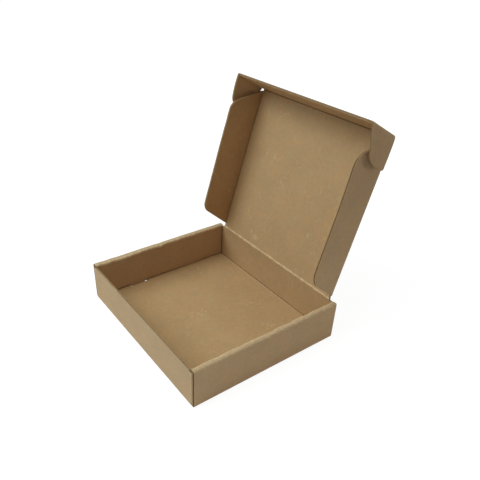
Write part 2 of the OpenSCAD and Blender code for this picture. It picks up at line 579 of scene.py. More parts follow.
    def _raise_beads(self) -> None:
        """Raises the ridge that a creasing rule leaves on the inner liner."""
        place = self.bm.verts.layers.float_vector["sheet"]
        top = self.blank.sizes.board_t - 1e-4
        for crease in self.blank.creases():
            if crease.bead <= 0.0:
                continue
            for vert in self.bm.verts:
                point = vert[place]
                if point.z < top or crease.nearness(point, self.fade) <= 0.0:
                    continue
                wave = wander(point.x * 0.13, point.y * 0.02, 3.7)
                ripple = wander(point.x * 0.31, point.y * 0.02, 9.1)
                ridge = crease.start + crease.length * (0.46 + 0.34 * wave + 0.20 * ripple)
                away = (crease.way.run(point) - ridge) / (crease.length * 0.34)
                lift = crease.bead * (1.0 + 0.5 * ripple + 0.35 * wave)
                vert.co.z += lift * math.exp(-away * away)

    def _fold_at(self, crease: Crease) -> None:
        """Bends and turns what one crease carries."""
        place = self.bm.verts.layers.float_vector["sheet"]
        rows: dict[float, list[bmesh.types.BMVert]] = {}
        for vert in self.bm.verts:
            if crease.moves(vert[place]):
                run = min(crease.way.run(vert[place]) - crease.start, crease.length)
                rows.setdefault(round(run, 3), []).append(vert)
        outward = crease.way.vector
        centre = outward * crease.start
        centre.z = self.blank.sizes.board_t / 2 + math.copysign(crease.radius, crease.angle)
        axis = outward.cross(Vector((0.0, 0.0, 1.0)))
        for run, verts in rows.items():
            bmesh.ops.translate(self.bm, verts=verts, vec=-outward * run)
            angle = math.radians(crease.angle) * min(1.0, run / crease.length)
            bmesh.ops.rotate(self.bm, verts=verts, cent=centre,
                             matrix=Matrix.Rotation(angle, 3, axis))

    def finished(self, finishes: Finishes, press: Optional[Press] = None) -> bpy.types.Object:
        """Folds the part at every crease and makes the piece's object, in metres, at the origin.

        Args:
            finishes: materials of the outer liner, the inner liner and the cut edges.
            press: gives the small shift of a folded point, as handling moves it, from its place
                on the blank and its place now.

        Returns:
            The finished object.
        """
        bm = self.bm
        self._raise_beads()
        for crease in self.blank.creases():
            self._fold_at(crease)
        place = bm.verts.layers.float_vector["sheet"]
        for vert in bm.verts if press else ():
            vert.co += press(vert[place].copy(), vert.co.copy())
        bmesh.ops.scale(bm, vec=(MM, MM, MM), verts=bm.verts)
        for face in bm.faces:
            face.smooth = True
            face.normal_update()
        sharp = math.radians(self.sharp)
        for edge in bm.edges:
            edge.smooth = edge.is_manifold and edge.calc_face_angle(0.0) < sharp
        mesh = bpy.data.meshes.new(self.name)
        bm.to_mesh(mesh)
        bm.free()
        for finish in finishes:
            mesh.materials.append(finish)
        obj = bpy.data.objects.new(self.name, mesh)
        bpy.context.scene.collection.objects.link(obj)
        return obj


# Shader expressions


class Flow:
    """A shader socket that can be added, subtracted and multiplied."""

    def __init__(self, shade: "Shade", socket: bpy.types.NodeSocket) -> None:
        """Wraps a socket.

        Args:
            shade: the node tree that the socket belongs to.
            socket: an output socket.
        """
        self.shade = shade
        self.socket = socket

    def _math(self, operation: str, *values: Value) -> "Flow":
        """Adds a Math node."""
        return self.shade.node("ShaderNodeMath", {"operation": operation}, dict(enumerate(values)))

    def __add__(self, other: Value) -> "Flow":
        """Sum."""
        return self._math("ADD", self, other)

    def __sub__(self, other: Value) -> "Flow":
        """Difference."""
        return self._math("SUBTRACT", self, other)

    def __rsub__(self, other: Value) -> "Flow":
        """Difference, reflected."""
        return self._math("SUBTRACT", other, self)

    def __mul__(self, other: Value) -> "Flow":
        """Product."""
        return self._math("MULTIPLY", self, other)

    __radd__ = __add__
    __rmul__ = __mul__

    def sine(self) -> "Flow":
        """Sine of the value."""
        return self._math("SINE", self)

    def size(self) -> "Flow":
        """The value without its sign."""
        return self._math("ABSOLUTE", self)

    def at_most(self, limit: Value) -> "Flow":
        """The smaller of the value and the limit."""
        return self._math("MINIMUM", self, limit)

    def at_least(self, limit: Value) -> "Flow":
        """The larger of the value and the limit."""
        return self._math("MAXIMUM", self, limit)

    def axis(self, number: int) -> "Flow":
        """One number of a vector."""
        return self.shade.node("ShaderNodeSeparateXYZ", {}, {0: self}, out=number)

    def ramp(self, low: float, high: float) -> "Flow":
        """A soft step from 0 at low to 1 at high."""
        return self.shade.node("ShaderNodeMapRange", {"interpolation_type": "SMOOTHSTEP"},
                               {"Value": self, "From Min": low, "From Max": high})


class Shade:
    """The node tree of a material or of the world."""

    def __init__(self, owner: Owner) -> None:
        """Empties the owner's tree.

        Args:
            owner: the material or world.
        """
        owner.use_nodes = True
        self.owner = owner
        self.tree = owner.node_tree
        self.tree.nodes.clear()

    def node(self, kind: str, settings: Optional[dict] = None,
             sockets: Optional[dict] = None, out: Union[int, str] = 0) -> Flow:
        """Adds a node.

        Args:
            kind: the node's type.
            settings: properties, set before the sockets.
            sockets: values or flows of the inputs, by name or number.
            out: the output that is wanted.

        Returns:
            The wanted output.
        """
        made = self.tree.nodes.new(kind)
        for name, value in (settings or {}).items():
            setattr(made, name, value)
        for name, value in (sockets or {}).items():
            if isinstance(value, Flow):
                self.tree.links.new(value.socket, made.inputs[name])
            else:
                made.inputs[name].default_value = value
        return Flow(self, made.outputs[out])

    def sheet(self, stretch: tuple[float, float] = (1.0, 1.0), turn: float = 0.0) -> Flow:
        """Place on the flat board in millimetres, stretched and turned.

        Args:
            stretch: factors along the blank's X and Y.
            turn: turn in the board's plane, in degrees.

        Returns:
            The place as a vector.
        """
        raw = self.node("ShaderNodeAttribute", {"attribute_name": "sheet"}, out="Vector")
        return self.node("ShaderNodeMapping", {}, {
            "Vector": raw, "Scale": (*stretch, 1.0), "Rotation": (0.0, 0.0, math.radians(turn))})

    def wear_and_painted_light(self) -> Flow:
        """How light the place is rubbed or painted with a highlight, or with a minus how dark it
        is painted with shade.
        """
        return self.node("ShaderNodeAttribute", {"attribute_name": "wear_and_painted_light"}, out="Fac")

    def grain(self, place: Flow, scale: float, detail: float = 2.0,
              roughness: float = 0.5, distortion: float = 0.0) -> Flow:
        """Noise from 0 to 1.

        Args:
            place: where the noise is read.
            scale: how fine it is, per millimetre.
            detail: how many octaves it has.
            roughness: how strong the finer octaves are.
            distortion: how much it swirls.

        Returns:
            The noise.
        """
        return self.node("ShaderNodeTexNoise", {"noise_dimensions": "3D"}, {
            "Vector": place, "Scale": scale, "Detail": detail, "Roughness": roughness,
            "Distortion": distortion})

    def scatter(self, place: Flow, scale: float) -> Flow:
        """Distance from the nearest of many scattered points."""
        return self.node("ShaderNodeTexVoronoi", {"feature": "F1"},
                         {"Vector": place, "Scale": scale}, out="Distance")

    def blend(self, factor: Value, first: "Flow | Colour", second: "Flow | Colour",
              kind: str = "MIX") -> Flow:
        """Mixes two colours.

        Args:
            factor: share of the second colour.
            first: the first colour.
            second: the second colour.
            kind: the way of mixing.

        Returns:
            The mixed colour.
        """
        return self.node("ShaderNodeMix", {"data_type": "RGBA", "blend_type": kind},
                         {0: factor, 6: first, 7: second}, out=2)

    def paper(self, colour: Flow, rough: Value, gloss: float, height: Flow,
              relief: float) -> Owner:
        """Finishes the tree as a paper surface.

        Args:
            colour: the colour.
            rough: the roughness.
            gloss: the specular level.
            height: height of the relief in millimetres.
            relief: strength of the relief.

        Returns:
            The tree's owner.
        """
        normal = self.node("ShaderNodeBump", {}, {
            "Strength": relief, "Distance": 1.0, "Height": height * MM})
        return self.output(self.node("ShaderNodeBsdfPrincipled", {}, {
            "Base Color": colour, "Roughness": rough, "Normal": normal,
            "Specular IOR Level": gloss}))

    def output(self, shader: Flow) -> Owner:
        """Links a shader to the tree's output and hands out the owner."""
        kind = "World" if isinstance(self.owner, bpy.types.World) else "Material"
        end = self.tree.nodes.new("ShaderNodeOutput" + kind)
        self.tree.links.new(shader.socket, end.inputs["Surface"])
        return self.owner


def tinted(colour: Colour, factor: float) -> Colour:
    """A colour made darker or lighter."""
    return (*(min(1.0, part * factor) for part in colour[:3]), 1.0)


@dataclass(frozen=True)
class KraftLiner:
    """Finish of a paper liner.

    Attributes:
        name: the material's name.
        paper: the paper's colour.
        pale: colour of rubbed or stretched fibres, and of the painted highlight on the hinge and
            beside the end walls' creases.
        dark: colour of bark specks and of the painted shade in creases.
        scuff: how pale the few rubbed spots are.
        flute: pitch of the flutes that show through, in millimetres.
        mottle: how much the tone varies.
        speck: how dark the bark specks are.
    """

    name: str
    paper: Colour
    pale: Colour
    dark: Colour
    scuff: float
    flute: float = FLUTE
    mottle: float = 0.15
    speck: float = 0.6

    def build(self) -> bpy.types.Material:
        """Makes the material."""
        shade = Shade(bpy.data.materials.new(self.name))
        place = shade.sheet()
        cloud = shade.grain(place, 0.045, 3.0, 0.55)
        patch = shade.grain(place, 0.28, 4.0, 0.6, 0.3)
        blot = shade.grain(shade.sheet((1.0, 0.7), 40.0), 0.5, 3.0, 0.6, 0.5)
        pulp = shade.grain(place, 1.6, 3.0, 0.65)
        fibre = shade.grain(shade.sheet((0.55, 3.6), 8.0), 1.0, 2.0, 0.6, 0.8)
        cross = shade.grain(shade.sheet((2.9, 0.5), -24.0), 1.0, 2.0, 0.6, 1.0)
        bark = shade.grain(shade.sheet((1.1, 2.2), 31.0), 1.0, 2.0, 0.5, 0.4)
        tone = (cloud - 0.5) * 1.2 + (patch - 0.5) * 0.9 + (blot - 0.5) * 1.3 + (pulp - 0.5) * 0.7
        tone = (tone * self.mottle * 2.0 + 0.5).at_least(0.0).at_most(1.0)
        colour = shade.blend(tone, tinted(self.paper, 0.72), tinted(self.paper, 1.28))
        hue = shade.grain(shade.sheet((1.0, 1.3), 17.0), 0.075).ramp(0.3, 0.7)
        cast = shade.blend(hue, (1.02, 0.995, 0.97, 1.0), (0.982, 1.006, 1.025, 1.0))
        colour = shade.blend(1.0, colour, cast, "MULTIPLY")
        colour = shade.blend(fibre.ramp(0.60, 0.80) * 0.30, colour, self.pale)
        colour = shade.blend(cross.ramp(0.66, 0.80) * 0.25, colour, self.dark)
        colour = shade.blend(bark.ramp(0.70, 0.75) * self.speck, colour, self.dark)

        spot = 1.0 - shade.scatter(shade.sheet((0.9, 1.25), 15.0), 0.042).ramp(0.012, 0.05)
        swirl = shade.grain(place, 0.085, 0.0, 0.5, 0.7)
        line = 1.0 - (swirl - 0.5).size().ramp(0.006, 0.030)
        zone = shade.grain(shade.sheet(turn=70.0), 0.055).ramp(0.47, 0.60)
        scratch = line * zone * blot.ramp(0.44, 0.62) * 0.6 * self.scuff
        rubbed = (spot * blot.ramp(0.42, 0.58) * self.scuff).at_least(scratch)
        colour = shade.blend(rubbed, colour, self.pale)
        knot = 1.0 - shade.scatter(shade.sheet((1.3, 1.0), 52.0), 0.047).ramp(0.010, 0.040)
        colour = shade.blend(knot * patch.ramp(0.40, 0.55) * self.speck, colour, self.dark)

        # Positive values: real rubbing along the outer folds, plus a painted highlight on the
        # hinge and beside the end walls' creases. Negative values: painted shade in creases.
        wear_and_painted_light = shade.wear_and_painted_light()
        uneven = (patch * 2.0 - 0.1).at_least(0.2) * (0.55 + blot.ramp(0.35, 0.65) * 0.75)
        # Rubbed fibres, and the painted highlight on the hinge and beside the end walls' creases.
        light = wear_and_painted_light.at_least(0.0) * (0.45 + fibre * 0.6) * uneven
        colour = shade.blend(light.at_most(1.0), colour, self.pale)
        # Painted shade in the creases.
        shaded = (0.0 - wear_and_painted_light).at_least(0.0) * (patch * 2.0 - 0.05).at_least(0.25).at_most(1.0)
        colour = shade.blend(shaded, colour, self.dark)

        crinkle = shade.grain(place, 2.4, 2.0, 0.6)
        flutes = (place.axis(1) * (2.0 * math.pi / self.flute)).sine()
        height = flutes * 0.010 + fibre * 0.014 + pulp * 0.010
        height = height + cross * 0.010 + wear_and_painted_light.size() * crinkle * 0.06
        rough = 0.80 + (patch - 0.5) * 0.12 + (fibre - 0.5) * 0.10
        return shade.paper(colour, rough, 0.35, height, 0.6)


@dataclass(frozen=True)
class CutEdge:
    """Finish of a cut edge: two liners with the fluted medium between them.

    Attributes:
        name: the material's name.
        paper: colour of the cut paper.
        hollow: painted shade in the hollows between the flutes.
        thickness: thickness of the board in millimetres.
        liner: thickness of a liner.
        flute: pitch of the flutes.
    """

    name: str
    paper: Colour
    hollow: Colour
    thickness: float = BoxSizes.board_t
    liner: float = 0.2
    flute: float = FLUTE

    def build(self) -> bpy.types.Material:
        """Makes the material."""
        shade = Shade(bpy.data.materials.new(self.name))
        place = shade.sheet()
        pulp = shade.grain(place, 2.2, 3.0, 0.65)
        patch = shade.grain(place, 0.3, 3.0, 0.55)
        off_middle = place.axis(2) - self.thickness / 2
        swing = (self.thickness - 3 * self.liner) / 2
        phase = place.axis(1) * (2.0 * math.pi / self.flute) + (patch - 0.5) * 2.0
        crest = phase.sine() * swing
        medium = 1.0 - (off_middle - crest).size().ramp(0.12, 0.26)
        inside = self.thickness / 2 - self.liner
        liner = off_middle.size().ramp(inside - 0.06, inside + 0.04)
        # Painted shade: where the sheet notes shade, the cut edge shows more open flutes and
        # darker hollows.
        edge_shade = (0.0 - shade.wear_and_painted_light()).at_least(0.0)
        crushed = 1.0 - (patch.ramp(0.35, 0.65) * 0.35 + 0.2).at_least(edge_shade)
        solid = (medium * 0.8).at_least(liner) * (1.0 - edge_shade * 0.55).at_least(0.1)
        solid = solid.at_least(crushed)
        fibres = shade.blend(pulp, tinted(self.paper, 0.8), tinted(self.paper, 1.15))
        # The hollows between the flutes are painted shade.
        colour = shade.blend(solid, self.hollow, fibres)
        return shade.paper(colour, 0.95, 0.05, solid * 0.12 + pulp * 0.05, 0.5)


# Parts of the box


@dataclass(frozen=True)
class Tray:
    """The tray: bottom, rolled side walls, front and back walls and the four corner flaps.

    Attributes:
        blank: the sheet.
        finishes: materials of the outer liner, the inner liner and the cut edges.
        corner_dip: how far the end walls' tops dip under the ends of the strips.
        floor_gap: gap between the floor and the side walls' inner panels.
        torn_end: how far one slot is torn open past its tab.
        end_gap: gap that is left free at the ends of the inner panels.
        roll_end: distance from the middle within which the rolled walls settle.
        sag: how far the strips sink, give or take as much.
        dent: depth of the dents along the strips' inner edges.
        bow: how far the inner panels bow towards the outer ones.
        bow_top: height at which that bow ends.
    """

    blank: Blank
    finishes: Finishes
    corner_dip: float = 0.8
    floor_gap: float = 0.6
    torn_end: float = 2.2
    end_gap: float = 0.7
    roll_end: float = 70.0
    sag: float = 0.14
    dent: float = 2.0
    bow: float = 0.25
    bow_top: float = 33.0

    @property
    def tab_places(self) -> tuple[float, float]:
        """Middles of the lock tabs, from front to back."""
        return (-self.blank.sizes.tab_spacing / 2, self.blank.sizes.tab_spacing / 2)

    def half_outline(self) -> list[Corner]:
        """Corners of the blank's right half, from the front wall's edge to the back wall's."""
        b, s = self.blank, self.blank.sizes
        drop = (s.corner_flap_len - s.board_t) * slope_of(s.corner_flap_taper)
        slit = b.corner_x + 0.2
        floor_edge = b.inner_edge_x - self.floor_gap
        panel_end = s.inner_panel_end - self.end_gap
        dip_y = b.wall_edge_y - self.corner_dip
        front = [
            Corner(0.0, -b.wall_edge_y),
            Corner(s.inner_panel_in - 0.5, -b.wall_edge_y),
            Corner(s.inner_panel_in + 0.4, -dip_y),
            Corner(b.corner_root_x, -dip_y),
            Corner(b.corner_edge_x, -dip_y + drop, s.corner_flap_r),
            Corner(b.corner_edge_x, -b.corner_low_y - drop, s.corner_flap_r),
            Corner(b.corner_root_x, -b.corner_low_y),
            Corner(b.corner_x, -b.corner_low_y),
            Corner(b.corner_x, -b.wall_y),
            Corner(slit, -b.wall_y),
            Corner(slit, -s.side_wall_end),
            Corner(b.inner_start_x, -s.side_wall_end),
            Corner(b.inner_start_x, -panel_end),
            Corner(floor_edge, -panel_end),
        ]
        side = []
        for middle in self.tab_places:
            side += [
                Corner(floor_edge, middle - s.tab_len / 2),
                Corner(b.tab_edge_x, middle - s.tab_len / 2, s.tab_r),
                Corner(b.tab_edge_x, middle + s.tab_len / 2, s.tab_r),
                Corner(floor_edge, middle + s.tab_len / 2),
            ]
        back = [Corner(c.x, -c.y, c.radius) for c in reversed(front[1:])]
        hinge = [
            Corner(s.hinge_len / 2, b.wall_edge_y),
            Corner(s.hinge_len / 2, b.hinge_y),
            Corner(0.0, b.hinge_y),
        ]
        return front + side + back + hinge

    def slots(self) -> list[Region]:
        """Slots in the bottom that the lock tabs stand in, the front left one torn."""
        s = self.blank.sizes
        reach = s.tab_len / 2 + s.tab_end_gap
        low = s.inner_panel_in - s.layer_gap
        high = s.inner_panel_out + s.layer_gap
        found = []
        for middle in self.tab_places:
            found.append(Region(low, middle - reach, high, middle + reach))
            torn = self.torn_end if middle < 0.0 else 0.0
            found.append(Region(-high, middle - reach, -low + torn * 0.35, middle + reach + torn))
        return found

    def settle(self, sheet: Vector, now: Vector) -> Vector:
        """Small bow of a wall.

        Args:
            sheet: place on the blank.
            now: place in the folded box.

        Returns:
            The shift.
        """
        shift = Vector((0.0, 0.0, 0.0))
        if abs(sheet.x) > self.blank.roll_x and abs(sheet.y) < self.roll_end:
            shift += self._settle_roll(sheet, now)
        if abs(sheet.y) > self.blank.wall_y and abs(sheet.x) < self.blank.corner_x:
            side = math.copysign(1.0, sheet.y)
            wave = wander(sheet.x * 0.03, side * 7.0, 1.7)
            shift.y -= side * share_of(now.z, 6.0, 30.0) * (0.10 + 0.16 * wave)
        return shift

    def _settle_roll(self, sheet: Vector, now: Vector) -> Vector:
        """Sag, dents and bow of a strip and its inner panel, and the panel's frayed edge."""
        b, s = self.blank, self.blank.sizes
        across = abs(sheet.x)
        side = math.copysign(4.0, sheet.x)
        wave = wander(sheet.y * 0.045, side, 0.3)
        ripple = wander(sheet.y * 0.16, side, 5.3)
        dented = self.dent * share_of(across, b.roll_x, b.inner_x) * max(0.0, ripple + 0.1)
        down = share_of(now.z, 4.0, 28.0) * (self.sag * (1.0 + wave) + dented)
        shift = Vector((0.0, 0.0, -down))
        if across > b.inner_x:
            hollow = math.sin(math.pi * min(1.0, now.z / self.bow_top))
            shift.x = math.copysign(self.bow * hollow * wave, sheet.x)
        if abs(abs(sheet.y) - s.tab_spacing / 2) > s.tab_len / 2 + 0.5:
            frayed = share_of(across, b.inner_edge_x - 2.6, b.inner_edge_x - 0.6)
            shift.z += frayed * max(0.0, 0.25 + 0.8 * ripple + 0.3 * wave)
        return shift

    def build(self) -> bpy.types.Object:
        """Cuts, creases and folds the tray's piece."""
        b, s = self.blank, self.blank.sizes
        part = BoardPart(b, "tray_board", self.half_outline())
        part.both_sides()
        part.rule(Way.BACK, (-b.wall_y, 0.0, b.wall_y))
        part.rule(Way.RIGHT, (-b.corner_x, b.corner_x))
        part.rule_creases()
        part.rule_grid(6.0)
        for slot in self.slots():
            part.punch(slot)
        part.thicken([line_at_y(b.hinge_y, -s.hinge_len / 2, s.hinge_len / 2)])
        end, rim = -s.side_wall_end, -b.wall_edge_y
        # Painted shade on cut edges: dark at the side walls' front ends, lighter along the front
        # wall's top edge.
        part.note_sheet([
            (line_at_y(end, -FAR, -b.side_x, reach=0.3), 1.7),
            (line_at_y(end, b.side_x, b.roll_x, reach=0.3), 1.4),
            (line_at_y(end, b.roll_x, reach=0.3), 0.2),
            (Region(-FAR, rim - 0.1, -30.0, rim + 1.0), 0.15),
            (Region(-30.0, rim - 0.1, FAR, rim + 1.0), 0.4),
        ])
        obj = part.finished(self.finishes, self.settle)
        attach(obj, "tray")
        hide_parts("tray")
        return obj


@dataclass(frozen=True)
class SideTraits:
    """What sets the flap and the ear on one side of the lid apart.

    Attributes:
        toe: extra radius of the flap's corner nearest to the hinge.
        lean: how far the flap leans outward.
        flap_edge_shade: painted shade on the open flutes in the flap's cut edges.
        free_edge_shade: painted shade on them along its free edge.
        ear_edge_shade: painted shade on them in the ear's cut edges.
        ear_slope: slope of the ear's upper edge in degrees.
        ear_r: radius of the ear's upper corner.
        spring: how far the ear springs outward.
        bows: powers that bow the spring near the ear's crease and near its free edge.
        held: share of the spring that is missing at the ear's upper edge.
    """

    toe: float
    lean: float
    flap_edge_shade: float
    free_edge_shade: float
    ear_edge_shade: float
    ear_slope: float
    ear_r: float
    spring: float
    bows: tuple[float, float]
    held: float


TRAITS = {
    Way.LEFT: SideTraits(
        toe=0.0, lean=0.3, flap_edge_shade=0.2, free_edge_shade=0.3, ear_edge_shade=0.3,
        ear_slope=BoxSizes.ear_slope, ear_r=BoxSizes.ear_r, spring=5.1, bows=(1.0, 2.0), held=0.0),
    Way.RIGHT: SideTraits(
        toe=3.5, lean=0.8, flap_edge_shade=0.5, free_edge_shade=0.75, ear_edge_shade=0.5,
        ear_slope=28.5, ear_r=8.0, spring=4.8, bows=(0.85, 1.0), held=0.35),
}


@dataclass(frozen=True)
class Lid:
    """The lid with its two side flaps and the tuck flap with its ears.

    Attributes:
        blank: the sheet.
        finishes: materials of the outer liner, the inner liner and the cut edges.
        margin: how much flat lid the flaps' pieces take along before their creases.
        corner_relief: how far the lid's corners stand back beside the tuck flap.
        ear_short: how much shorter than in the source the ears' free edges are.
        seam_gap: how far past its crease an ear's own piece begins.
    """

    blank: Blank
    finishes: Finishes
    margin: float = 1.0
    corner_relief: float = 0.8
    ear_short: float = 1.2
    seam_gap: float = 0.3

    @property
    def into(self) -> Vector:
        """Direction from the lid into the box."""
        turn = math.radians(self.blank.sizes.lid_angle)
        return Vector((0.0, -math.sin(turn), -math.cos(turn)))

    @property
    def ear_foot(self) -> float:
        """Where the ears' lower edges leave their creases."""
        return self.blank.tuck_zero + self.blank.sizes.crease_gap

    @property
    def ear_seam(self) -> float:
        """Where an ear's own piece begins on the blank."""
        return self.blank.ear_root_x + self.blank.inner_radius + self.seam_gap

    def ear_low(self, x: float) -> float:
        """Lower edge of an ear at a distance from the blank's middle line."""
        b = self.blank
        return self.ear_foot + (x - b.ear_root_x) * slope_of(b.sizes.ear_taper)

    def ear_high(self, x: float) -> float:
        """Upper edge of an ear near its crease."""
        b = self.blank
        return b.tuck_edge_y - (x - b.ear_root_x) * slope_of(b.sizes.ear_slope)

    def on_lid(self, x: float, out: float, deep: float) -> Vector:
        """Place in the frame of a point that is given with the lid's own axes.

        Args:
            x: to the right, in millimetres.
            out: out from the hinge.
            deep: into the box from the middle of the lid's thickness.

        Returns:
            The place in metres.
        """
        s = self.blank.sizes
        turn = math.radians(s.lid_angle)
        along = Vector((0.0, -math.cos(turn), math.sin(turn)))
        return (Vector((x, s.hinge_y, s.hinge_z)) + along * out + self.into * deep) * MM

    def panel(self) -> bpy.types.Object:
        """Makes the piece of the hinge crease and the lid panel."""
        b, s = self.blank, self.blank.sizes
        wide, narrow = s.hinge_len / 2, s.side_flap_in
        hinge_end = b.hinge_y + b.hinge_bend
        low, high = b.flap_low_y, b.flap_high_y
        rim, top = b.flap_x - self.margin, b.tuck_y - self.margin
        part = BoardPart(b, "lid_board", [
            Corner(0.0, b.hinge_y),
            Corner(wide, b.hinge_y),
            Corner(wide, hinge_end),
            Corner(narrow, hinge_end + 0.6),
            Corner(narrow, low),
            Corner(rim, low),
            Corner(rim, high),
            Corner(narrow, high),
            Corner(narrow - self.corner_relief, top),
            Corner(0.0, top),
        ])
        part.both_sides()
        part.rule_creases()
        part.rule(Way.RIGHT, [i * 1.5 for i in range(-48, 49)],
                  Region(-FAR, b.hinge_y - 1.0, FAR, hinge_end + 1.0))
        part.rule_grid(6.0)
        part.thicken([line_at_y(b.hinge_y), line_at_y(top),
                      line_at_x(rim, low, high), line_at_x(-rim, low, high)])
        part.note_sheet()
        obj = part.finished(self.finishes)
        self.on_lid(0.0, b.hinge_reach, 0.0)
        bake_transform(obj)
        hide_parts("lid_panel")
        return obj

    def side_flap(self, way: Way) -> bpy.types.Object:
        """A side flap with its crease.

        Args:
            way: RIGHT or LEFT.

        Returns:
            The finished piece.
        """
        b, s = self.blank, self.blank.sizes
        side, word, traits = way.value[0], way.name.lower(), TRAITS[way]
        low, high = b.flap_low_y, b.flap_high_y
        slope = (b.flap_edge_x - b.flap_start_x) * slope_of(s.side_flap_slope)
        rim, free = side * (b.flap_x - self.margin), side * b.flap_edge_x
        part = BoardPart(b, f"{word}_flap_board", [
            Corner(rim, low),
            Corner(side * b.flap_start_x, low),
            Corner(free, low + slope, s.side_flap_r + traits.toe),
            Corner(free, high - slope, s.side_flap_r),
            Corner(side * b.flap_start_x, high),
            Corner(rim, high),
        ])
        part.rule_creases()
        part.rule_grid(5.0)
        part.thicken([line_at_x(rim, low, high)])
        # Painted shade on the flap's cut edges, darker along its free edge.
        part.note_sheet([(EVERYWHERE, traits.flap_edge_shade),
                         (line_at_x(free, reach=1.5), traits.free_edge_shade)])
        obj = part.finished(self.finishes,
                            lambda sheet, now: self._lean(side, traits.lean, sheet))
        middle = s.board_t / 2
        bend = b.inner_radius + middle
        self.on_lid(side * b.flap_x, 67.0, 0.0)
        self.on_lid(side * (b.flap_x + bend), 67.0, bend)
        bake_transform(obj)
        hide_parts(f"lid_{word}_flap")
        return obj

    def _lean(self, side: float, lean: float, sheet: Vector) -> Vector:
        """How a side flap leans outward, away from the ear, and how its free edge wanders.

        Args:
            side: 1 on the right, -1 on the left.
            lean: how far the flap leans.
            sheet: place on the blank.

        Returns:
            The shift.
        """
        b = self.blank
        out = sheet.y - b.lid_zero
        rise = share_of(abs(sheet.x), b.flap_start_x, b.flap_edge_x)
        clear = 1.0 - share_of(out, 78.0, 108.0)
        clear = clear * clear * (3.0 - 2.0 * clear)
        outward = rise ** 1.3 * clear * (lean + 0.25 * wander(out * 0.03, side * 3.0, 2.1))
        ragged = wander(out * 0.22, side * 5.0, 7.7)
        trimmed = share_of(rise, 0.8, 1.0) * (0.16 * ragged - 0.16)
        return Vector((side * outward, 0.0, 0.0)) + self.into * trimmed

    def ear(self, way: Way) -> bpy.types.Object:
        """An ear of the tuck flap, which springs outward while the box is open.

        Args:
            way: RIGHT or LEFT.

        Returns:
            The finished piece.
        """
        b, s = self.blank, self.blank.sizes
        side, traits = way.value[0], TRAITS[way]
        spring = traits.spring
        foot, top = self.ear_foot, b.tuck_edge_y
        seam, edge = self.ear_seam, b.ear_edge_x - self.ear_short
        high = self.ear_high(seam)
        part = BoardPart(b, f"{way.name.lower()}_ear_board", [
            Corner(side * seam, self.ear_low(seam)),
            Corner(side * edge, self.ear_low(edge), s.ear_toe_r),
            Corner(side * edge, high - (edge - seam) * slope_of(traits.ear_slope), traits.ear_r),
            Corner(side * seam, high),
        ])
        part.rule_grid(2.0)
        part.thicken([line_at_x(side * seam, foot + 0.2, top - 0.3)])
        # Painted shade on the ear's cut edges.
        part.note_sheet([(EVERYWHERE, traits.ear_edge_shade)])

        def springs(sheet: Vector, now: Vector) -> Vector:
            """Shift of a point of the ear."""
            share = share_of(abs(sheet.x), seam, b.ear_edge_x)
            amount = 1.0 - (1.0 - share ** traits.bows[0]) ** traits.bows[1]
            free = 1.0 - traits.held * (sheet.y - foot) / (top - foot)
            return Vector((side * spring * amount * free, 0.0, 0.0))

        obj = part.finished(self.finishes, springs)
        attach(obj, "tuck")
        side * s.ear_in * MM
        (s.board_t + 0.15) / (s.board_t + spring)
        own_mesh(obj)
        return obj

    def tuck_flap(self) -> bpy.types.Object:
        """Makes the piece of the tuck flap with its crease and the creases of its two ears."""
        b, s = self.blank, self.blank.sizes
        foot, top, seam = self.ear_foot, b.tuck_edge_y, self.ear_seam
        rim = b.tuck_y - self.margin
        part = BoardPart(b, "tuck_flap_board", [
            Corner(0.0, rim),
            Corner(s.side_flap_in - self.corner_relief, rim),
            Corner(s.side_flap_in - self.corner_relief, foot + 0.4),
            Corner(s.side_flap_in + 0.5, foot + 1.2),
            Corner(b.ear_root_x, foot + 0.2),
            Corner(seam, self.ear_low(seam)),
            Corner(seam, self.ear_high(seam)),
            Corner(b.ear_root_x, top),
            Corner(0.0, top),
        ])
        part.both_sides()
        part.rule_creases()
        part.rule_grid(4.0)
        part.thicken([line_at_y(rim), line_at_x(seam, foot + 0.2, top - 0.3),
                      line_at_x(-seam, foot + 0.2, top - 0.3)])
        # Painted shade on the tuck flap's top cut edge.
        part.note_sheet([(line_at_y(top, reach=1.0), 0.55)])
        obj = part.finished(self.finishes)
        middle = s.board_t / 2
        root = s.tuck_root - b.inner_radius * slope_of(b.tuck_fold / 2)
        turn = math.radians(b.tuck_fold)
        self.on_lid(0.0, root, 0.0)
        self.on_lid(0.0, root + b.neutral * math.sin(turn),
                                 middle + b.inner_radius - b.neutral * math.cos(turn))
        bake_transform(obj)
        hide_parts("tuck_flap")
        return obj


# Studio


@dataclass(frozen=True)
class Softbox:
    """A round area lamp that points at the box.

    Attributes:
        name: the lamp's name.
        place: where it hangs, in metres.
        size: its width in metres.
        power: its power in watts.
        colour: the colour of its light.
    """

    name: str
    place: Triple
    size: float
    power: float
    colour: Triple

    def build(self, target: Vector) -> bpy.types.Object:
        """Hangs the lamp.

        Args:
            target: the point that it faces.

        Returns:
            The lamp.
        """
        data = bpy.data.lights.new(self.name, "AREA")
        data.shape = "DISK"
        data.size = self.size
        data.energy = self.power
        data.color = self.colour
        obj = bpy.data.objects.new(self.name, data)
        obj.location = self.place
        obj.rotation_mode = "QUATERNION"
        obj.rotation_quaternion = (target - Vector(self.place)).to_track_quat("-Z", "Y")
        bpy.context.scene.collection.objects.link(obj)
        return obj


